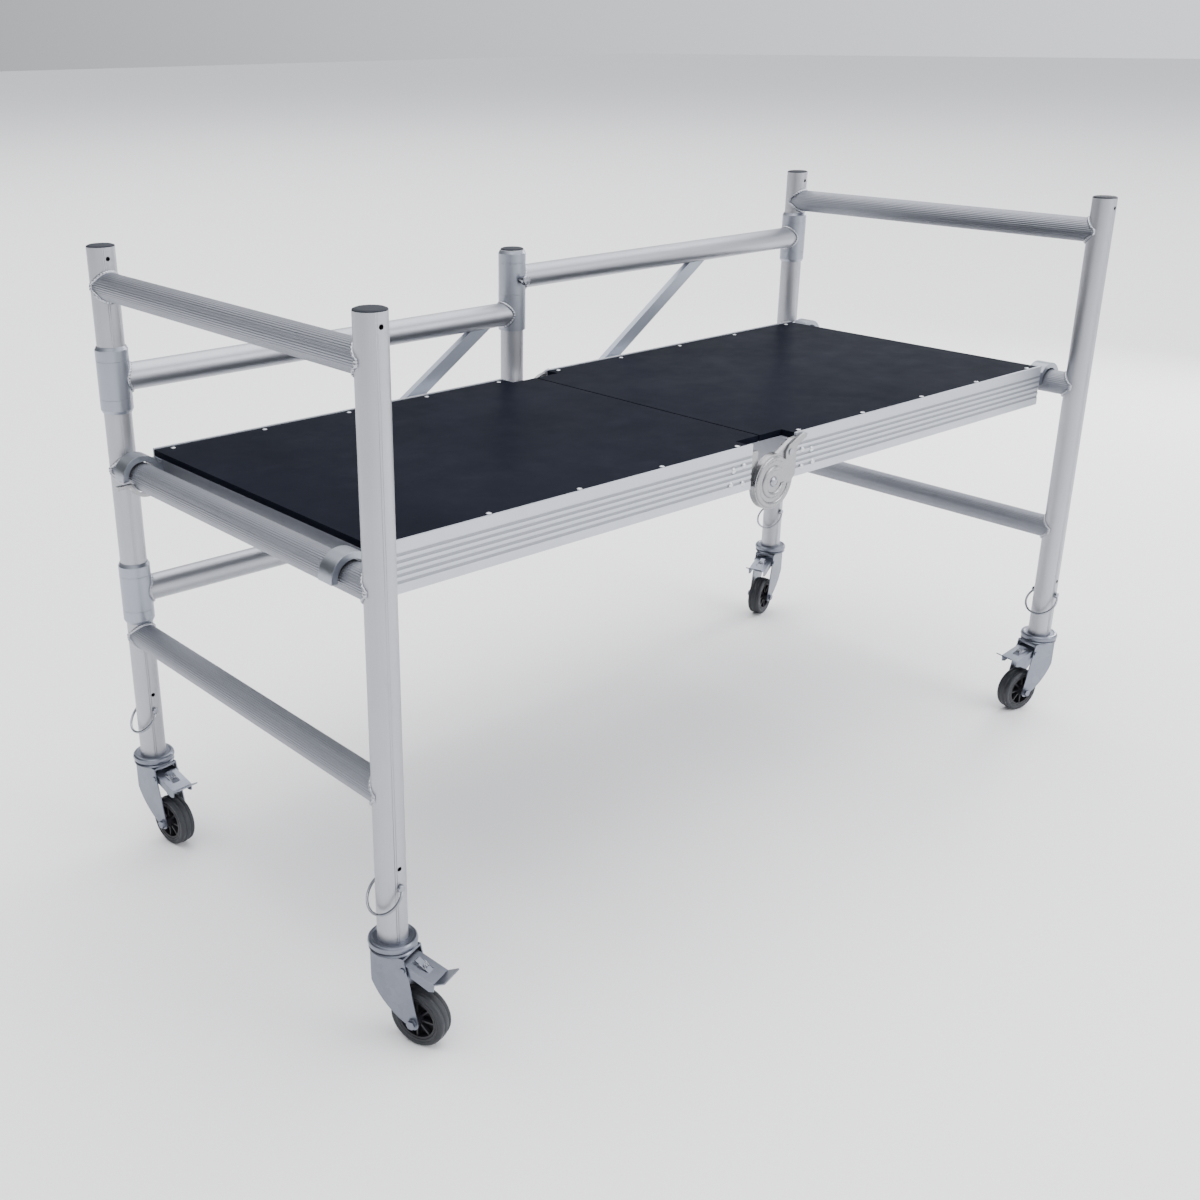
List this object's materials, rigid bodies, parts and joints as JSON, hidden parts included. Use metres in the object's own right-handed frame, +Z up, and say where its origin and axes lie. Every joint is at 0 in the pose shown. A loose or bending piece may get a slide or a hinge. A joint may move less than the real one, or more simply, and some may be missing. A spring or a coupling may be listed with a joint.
{
  "type": "baker scaffold",
  "caption": "Folding aluminium room scaffold with ribbed rungs, folding back frame, hinged platform on claws and braked swivel casters",
  "frame": {"origin": "centre of the bounding box, on the floor under the casters", "axes": "+X from the left end frame to the right one, +Y from the open front to the folding back frame, +Z up"},
  "size_m": [2.016, 0.9762, 1.199],
  "materials": {
    "post_aluminium": "satin extruded",
    "tube_aluminium": "satin",
    "rung_aluminium": "fluted mill finish",
    "rail_aluminium": "satin grooved extrusion",
    "rivet_aluminium": "bright",
    "hinge_metal": "pressed, blasted",
    "plated_steel": "bright plated",
    "zinc_steel": "galvanised pressing",
    "cap_plastic": "smooth dark",
    "hub_plastic": "moulded",
    "tyre_rubber": "solid rubber",
    "deck_board": "film faced plywood"
  },
  "bodies": {
    "left_frame": {"left_posts": "post_aluminium", "left_post_caps": "cap_plastic", "left_bail_pins": "plated_steel", "left_caster_sockets": "zinc_steel", "left_rungs": "rung_aluminium", "left_collar_rings": "tube_aluminium"},
    "right_frame": {"right_posts": "post_aluminium", "right_post_caps": "cap_plastic", "right_bail_pins": "plated_steel", "right_caster_sockets": "zinc_steel", "right_rungs": "rung_aluminium", "right_collar_rings": "tube_aluminium"},
    "back_left_half": {"left_back_sleeves": "tube_aluminium", "left_back_rails": "tube_aluminium", "left_back_brace": "tube_aluminium", "middle_post": "post_aluminium", "middle_post_cap": "cap_plastic", "middle_collar_rings": "tube_aluminium"},
    "back_right_half": {"right_back_sleeves": "tube_aluminium", "right_back_rails": "tube_aluminium", "right_back_brace": "tube_aluminium", "lock_pin_housing": "plated_steel"},
    "lock_pin_body": {"lock_pin": "plated_steel"},
    "platform_left": {"left_side_rails": "rail_aluminium", "left_claws": "hinge_metal", "left_hinge_leaves": "hinge_metal", "left_fasteners": "rivet_aluminium", "left_deck": "deck_board", "left_cross_beams": "rail_aluminium", "hinge_rivets": "plated_steel"},
    "platform_right": {"right_side_rails": "rail_aluminium", "right_claws": "hinge_metal", "right_hinge_leaves": "hinge_metal", "right_fasteners": "rivet_aluminium", "right_deck": "deck_board", "right_cross_beams": "rail_aluminium", "lever_pins": "plated_steel"},
    "front_lever": {"front_hinge_lever": "hinge_metal"},
    "back_lever": {"back_hinge_lever": "hinge_metal"},
    "wind_latch": {"left_wind_latch": "hinge_metal"},
    "front_left_caster": {"front_left_fork": "zinc_steel", "front_left_axle": "zinc_steel"},
    "front_left_wheel": {"front_left_hub": "hub_plastic", "front_left_tyre": "tyre_rubber"},
    "front_left_brake": {"front_left_pedal": "zinc_steel"},
    "back_left_caster": {"back_left_fork": "zinc_steel", "back_left_axle": "zinc_steel"},
    "back_left_wheel": {"back_left_hub": "hub_plastic", "back_left_tyre": "tyre_rubber"},
    "back_left_brake": {"back_left_pedal": "zinc_steel"},
    "front_right_caster": {"front_right_fork": "zinc_steel", "front_right_axle": "zinc_steel"},
    "front_right_wheel": {"front_right_hub": "hub_plastic", "front_right_tyre": "tyre_rubber"},
    "front_right_brake": {"front_right_pedal": "zinc_steel"},
    "back_right_caster": {"back_right_fork": "zinc_steel", "back_right_axle": "zinc_steel"},
    "back_right_wheel": {"back_right_hub": "hub_plastic", "back_right_tyre": "tyre_rubber"},
    "back_right_brake": {"back_right_pedal": "zinc_steel"}
  },
  "joints": [
    {"name": "back_left_fold", "type": "hinge", "parent": "left_frame", "child": "back_left_half", "pos_m": [-0.9511, 0.44663, 0.957], "axis": [0, 0, 1], "range_deg": [0, 61]},
    {"name": "back_right_fold", "type": "hinge", "parent": "back_left_half", "child": "back_right_half", "pos_m": [0.0077, 0.44663, 1.034], "axis": [0, 0, 1], "range_deg": [-122, 0]},
    {"name": "right_frame_turn", "type": "hinge", "parent": "back_right_half", "child": "right_frame", "pos_m": [0.9665, 0.44663, 1.034], "axis": [0, 0, 1], "range_deg": [0, 61]},
    {"name": "platform_tilt", "type": "hinge", "parent": "left_frame", "child": "platform_left", "pos_m": [-0.9511, 0.04713, 0.788], "axis": [0, -1, 0], "range_deg": [0, 76.25]},
    {"name": "platform_fold", "type": "hinge", "parent": "platform_left", "child": "platform_right", "pos_m": [0.0077, 0.04713, 0.7435], "axis": [0, -1, 0], "range_deg": [-127.09, 0]},
    {"name": "lock_pin_pull", "type": "slide", "parent": "back_right_half", "child": "lock_pin_body", "axis": [0, -1, 0], "range_m": [0, 0.008], "stiffness_N_per_m": 300},
    {"name": "wind_latch_turn", "type": "hinge", "parent": "platform_left", "child": "wind_latch", "pos_m": [-0.9511, 0.04713, 0.788], "axis": [0, 1, 0], "range_deg": [0, 70]},
    {"name": "front_lever_turn", "type": "hinge", "parent": "platform_right", "child": "front_lever", "pos_m": [0.0477, -0.30987, 0.7955], "axis": [0, -1, 0], "range_deg": [0, 20]},
    {"name": "back_lever_turn", "type": "hinge", "parent": "platform_right", "child": "back_lever", "pos_m": [0.0477, 0.40413, 0.7955], "axis": [0, -1, 0], "range_deg": [0, 20]},
    {"name": "front_left_swivel", "type": "hinge", "parent": "left_frame", "child": "front_left_caster", "pos_m": [-0.9511, -0.37637, 0.189], "axis": [0, 0, 1], "continuous": true},
    {"name": "front_left_roll", "type": "hinge", "parent": "front_left_caster", "child": "front_left_wheel", "pos_m": [-0.93318, -0.42305, 0.051], "axis": [0.9336, 0.3584, 0], "continuous": true},
    {"name": "front_left_brake_press", "type": "hinge", "parent": "front_left_caster", "child": "front_left_brake", "pos_m": [-0.93892, -0.40811, 0.148], "axis": [0.9336, 0.3584, 0], "range_deg": [0, 12], "stiffness_Nm_per_rad": 2},
    {"name": "back_left_swivel", "type": "hinge", "parent": "left_frame", "child": "back_left_caster", "pos_m": [-0.9511, 0.44663, 0.189], "axis": [0, 0, 1], "continuous": true},
    {"name": "back_left_roll", "type": "hinge", "parent": "back_left_caster", "child": "back_left_wheel", "pos_m": [-0.94414, 0.39712, 0.051], "axis": [0.9903, 0.1392, 0], "continuous": true},
    {"name": "back_left_brake_press", "type": "hinge", "parent": "back_left_caster", "child": "back_left_brake", "pos_m": [-0.94637, 0.41296, 0.148], "axis": [0.9903, 0.1392, 0], "range_deg": [0, 12], "stiffness_Nm_per_rad": 2},
    {"name": "front_right_swivel", "type": "hinge", "parent": "right_frame", "child": "front_right_caster", "pos_m": [0.9665, -0.37637, 0.189], "axis": [0, 0, 1], "continuous": true},
    {"name": "front_right_roll", "type": "hinge", "parent": "front_right_caster", "child": "front_right_wheel", "pos_m": [0.91742, -0.36683, 0.051], "axis": [-0.1908, -0.9816, 0], "continuous": true},
    {"name": "front_right_brake_press", "type": "hinge", "parent": "front_right_caster", "child": "front_right_brake", "pos_m": [0.93312, -0.36988, 0.148], "axis": [-0.1908, -0.9816, 0], "range_deg": [0, 12], "stiffness_Nm_per_rad": 2},
    {"name": "back_right_swivel", "type": "hinge", "parent": "right_frame", "child": "back_right_caster", "pos_m": [0.9665, 0.44663, 0.189], "axis": [0, 0, 1], "continuous": true},
    {"name": "back_right_roll", "type": "hinge", "parent": "back_right_caster", "child": "back_right_wheel", "pos_m": [0.91868, 0.43201, 0.051], "axis": [0.2924, -0.9563, 0], "continuous": true},
    {"name": "back_right_brake_press", "type": "hinge", "parent": "back_right_caster", "child": "back_right_brake", "pos_m": [0.93399, 0.43669, 0.148], "axis": [0.2924, -0.9563, 0], "range_deg": [0, 12], "stiffness_Nm_per_rad": 2}
  ],
  "couplings": [
    {"joint": "back_right_fold", "follows": "back_left_fold", "ratio": -2},
    {"joint": "right_frame_turn", "follows": "back_left_fold", "ratio": 1},
    {"joint": "platform_tilt", "follows": "back_left_fold", "ratio": 1.25},
    {"joint": "platform_fold", "follows": "back_left_fold", "ratio": -2.0833}
  ]
}
